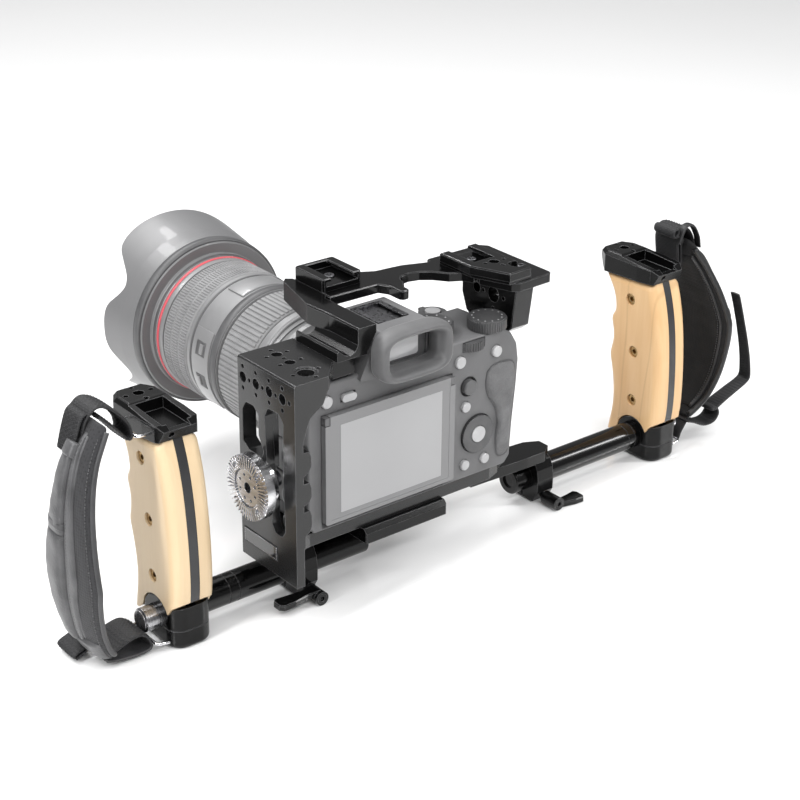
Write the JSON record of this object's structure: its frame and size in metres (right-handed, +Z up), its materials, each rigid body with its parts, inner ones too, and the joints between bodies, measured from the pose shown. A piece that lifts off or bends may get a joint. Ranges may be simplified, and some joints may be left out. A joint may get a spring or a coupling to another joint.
{
  "type": "cinema camera rig",
  "caption": "Two-handed camera rig: half cage with a mirrorless camera and zoom lens, wooden side handles on rods, hand straps, rosette and cold shoes.",
  "frame": {"origin": "bottom centre of the whole rig, on the surface that the handles stand on", "axes": "+X to the operator's right along the support rods, +Y forward along the lens, +Z up"},
  "size_m": [0.4368, 0.2176, 0.151],
  "materials": {
    "cage_black": "black satin anodised",
    "rosette_steel": "bright machined steel with radial teeth",
    "screw_steel": "blackened steel",
    "lever_black": "black anodised lever",
    "rod_black": "polished black anodised tube",
    "maple": "oiled maple",
    "grip_core": "dark grey strip between the wooden scales",
    "grip_screw_brass": "aged brass",
    "handle_black": "black anodised",
    "button_steel": "brushed steel",
    "bail_chrome": "polished wire",
    "strap_leather": "dark grey leather and webbing",
    "camera_shell": "fine leatherette over a grey shell",
    "camera_rubber": "soft rubber",
    "finder_glass": "coated glass",
    "shoe_steel": "stamped steel shoe",
    "screen_black": "glossy screen in a matte frame",
    "dial_grey": "knurled grey metal",
    "button_grey": "light grey plastic",
    "lens_metal": "satin painted barrel",
    "lens_rubber": "ribbed rubber ring",
    "lens_glass": "coated front element",
    "hood_plastic": "matte moulded petal hood"
  },
  "bodies": {
    "cage": {"cage_body": "cage_black", "badge_plate": "cage_black", "left_tower": "cage_black", "top_bridge": "cage_black", "cold_shoe_left": "cage_black", "shoe_block_right": "cage_black", "right_wing": "cage_black", "base_dovetail": "cage_black", "rosette": "rosette_steel", "cage_screws": "screw_steel", "rod_clamp_left": "cage_black", "rod_clamp_right": "cage_black", "camera_body": "camera_shell", "evf_eyecup": "camera_rubber", "finder_window": "finder_glass", "hot_shoe": "shoe_steel", "port_covers": "camera_rubber", "mount_adapter": "lens_metal", "lens_barrel": "lens_metal", "front_element": "lens_glass"},
    "left_rod": {"rod_left": "rod_black"},
    "right_rod": {"rod_right": "rod_black"},
    "left_handle": {"grip_scales_left": "maple", "grip_core_left": "grip_core", "grip_screws_left": "grip_screw_brass", "handle_base_left": "handle_black", "top_cap_left": "handle_black", "strap_bails_left": "bail_chrome", "hand_strap_left": "strap_leather"},
    "left_release": {"release_button_left": "button_steel"},
    "left_lever": {"clamp_lever_left": "lever_black"},
    "right_handle": {"grip_scales_right": "maple", "grip_core_right": "grip_core", "grip_screws_right": "grip_screw_brass", "handle_base_right": "handle_black", "top_cap_right": "handle_black", "strap_bails_right": "bail_chrome", "hand_strap_right": "strap_leather"},
    "right_release": {"release_button_right": "button_steel"},
    "right_lever": {"clamp_lever_right": "lever_black"},
    "lcd_arm": {"lcd_arm": "camera_shell"},
    "lcd_panel": {"lcd_panel": "screen_black"},
    "mode_dial": {"mode_dial": "dial_grey"},
    "exposure_dial": {"exposure_dial": "dial_grey"},
    "thumb_dial": {"thumb_dial": "dial_grey"},
    "control_wheel": {"control_wheel": "dial_grey"},
    "select_button": {"select_button": "dial_grey"},
    "joystick": {"joystick": "camera_rubber"},
    "shutter_button": {"shutter_button": "button_grey"},
    "power_switch": {"power_switch": "dial_grey"},
    "c3_button": {"c3_button": "button_grey"},
    "menu_button": {"menu_button": "button_grey"},
    "afon_button": {"afon_button": "button_grey"},
    "ael_button": {"ael_button": "button_grey"},
    "fn_button": {"fn_button": "button_grey"},
    "play_button": {"play_button": "button_grey"},
    "delete_button": {"delete_button": "button_grey"},
    "zoom_ring": {"zoom_ring": "lens_rubber"},
    "focus_ring": {"focus_ring": "lens_rubber"},
    "lens_hood": {"lens_hood": "hood_plastic"}
  },
  "joints": [
    {"name": "left_rod_slide", "type": "slide", "parent": "cage", "child": "left_rod", "axis": [-1, 0, 0], "range_m": [-0.012, 0.034]},
    {"name": "right_rod_slide", "type": "slide", "parent": "cage", "child": "right_rod", "axis": [1, 0, 0], "range_m": [-0.055, 0.01]},
    {"name": "left_handle_tilt", "type": "hinge", "parent": "left_rod", "child": "left_handle", "pos_m": [-0.06714, -0.06575, 0.0132], "axis": [1, 0, 0], "range_deg": [-60, 60]},
    {"name": "right_handle_tilt", "type": "hinge", "parent": "right_rod", "child": "right_handle", "pos_m": [0.14286, -0.06575, 0.0132], "axis": [1, 0, 0], "range_deg": [-60, 60]},
    {"name": "left_release_press", "type": "slide", "parent": "left_handle", "child": "left_release", "axis": [1, 0, 0], "range_m": [0, 0.003], "stiffness_N_per_m": 600},
    {"name": "right_release_press", "type": "slide", "parent": "right_handle", "child": "right_release", "axis": [-1, 0, 0], "range_m": [0, 0.003], "stiffness_N_per_m": 600},
    {"name": "left_clamp_lever", "type": "hinge", "parent": "cage", "child": "left_lever", "pos_m": [-0.09814, -0.08275, 0.0037], "axis": [0, 1, 0], "range_deg": [0, 110]},
    {"name": "right_clamp_lever", "type": "hinge", "parent": "cage", "child": "right_lever", "pos_m": [0.05785, -0.08275, 0.0037], "axis": [0, -1, 0], "range_deg": [0, 110]},
    {"name": "screen_arm_tilt", "type": "hinge", "parent": "cage", "child": "lcd_arm", "pos_m": [-0.06214, -0.09175, 0.0496], "axis": [1, 0, 0], "range_deg": [0, 41]},
    {"name": "screen_tilt", "type": "hinge", "parent": "lcd_arm", "child": "lcd_panel", "pos_m": [-0.06214, -0.09515, 0.1022], "axis": [-1, 0, 0], "range_deg": [0, 107]},
    {"name": "mode_dial_turn", "type": "hinge", "parent": "cage", "child": "mode_dial", "pos_m": [-0.02115, -0.07725, 0.122], "axis": [0, 0, 1], "continuous": true},
    {"name": "exposure_dial_turn", "type": "hinge", "parent": "cage", "child": "exposure_dial", "pos_m": [0.00445, -0.08695, 0.122], "axis": [0, 0, 1], "continuous": true},
    {"name": "thumb_dial_turn", "type": "hinge", "parent": "cage", "child": "thumb_dial", "pos_m": [-0.00954, -0.08955, 0.115], "axis": [0, 0, 1], "continuous": true},
    {"name": "control_wheel_turn", "type": "hinge", "parent": "cage", "child": "control_wheel", "pos_m": [-0.00624, -0.09375, 0.067], "axis": [0, 1, 0], "continuous": true},
    {"name": "select_press", "type": "slide", "parent": "cage", "child": "select_button", "axis": [0, 1, 0], "range_m": [0, 0.0008], "stiffness_N_per_m": 400},
    {"name": "joystick_tilt", "type": "hinge", "parent": "cage", "child": "joystick", "pos_m": [-0.01235, -0.09115, 0.094], "axis": [1, 0, 0], "range_deg": [-6, 6], "stiffness_Nm_per_rad": 0.02},
    {"name": "shutter_press", "type": "slide", "parent": "cage", "child": "shutter_button", "axis": [0, 0, -1], "range_m": [0, 0.001], "stiffness_N_per_m": 500},
    {"name": "power_switch_turn", "type": "hinge", "parent": "cage", "child": "power_switch", "pos_m": [0.00346, -0.04675, 0.1128], "axis": [0, 0, 1], "range_deg": [0, 35]},
    {"name": "c3_press", "type": "slide", "parent": "cage", "child": "c3_button", "axis": [0, 1, 0], "range_m": [0, 0.001], "stiffness_N_per_m": 400},
    {"name": "menu_press", "type": "slide", "parent": "cage", "child": "menu_button", "axis": [0, 1, 0], "range_m": [0, 0.001], "stiffness_N_per_m": 400},
    {"name": "afon_press", "type": "slide", "parent": "cage", "child": "afon_button", "axis": [0, 1, 0], "range_m": [0, 0.001], "stiffness_N_per_m": 400},
    {"name": "ael_press", "type": "slide", "parent": "cage", "child": "ael_button", "axis": [0, 1, 0], "range_m": [0, 0.001], "stiffness_N_per_m": 400},
    {"name": "fn_press", "type": "slide", "parent": "cage", "child": "fn_button", "axis": [0, 1, 0], "range_m": [0, 0.001], "stiffness_N_per_m": 400},
    {"name": "play_press", "type": "slide", "parent": "cage", "child": "play_button", "axis": [0, 1, 0], "range_m": [0, 0.001], "stiffness_N_per_m": 400},
    {"name": "delete_press", "type": "slide", "parent": "cage", "child": "delete_button", "axis": [0, 1, 0], "range_m": [0, 0.001], "stiffness_N_per_m": 400},
    {"name": "zoom_ring_turn", "type": "hinge", "parent": "cage", "child": "zoom_ring", "pos_m": [-0.05445, -0.00175, 0.085], "axis": [0, 1, 0], "range_deg": [-35, 45]},
    {"name": "focus_ring_turn", "type": "hinge", "parent": "cage", "child": "focus_ring", "pos_m": [-0.05445, 0.04825, 0.085], "axis": [0, 1, 0], "range_deg": [-60, 60]},
    {"name": "hood_twist", "type": "hinge", "parent": "cage", "child": "lens_hood", "pos_m": [-0.05445, 0.07125, 0.085], "axis": [0, 1, 0], "range_deg": [0, 60]}
  ]
}
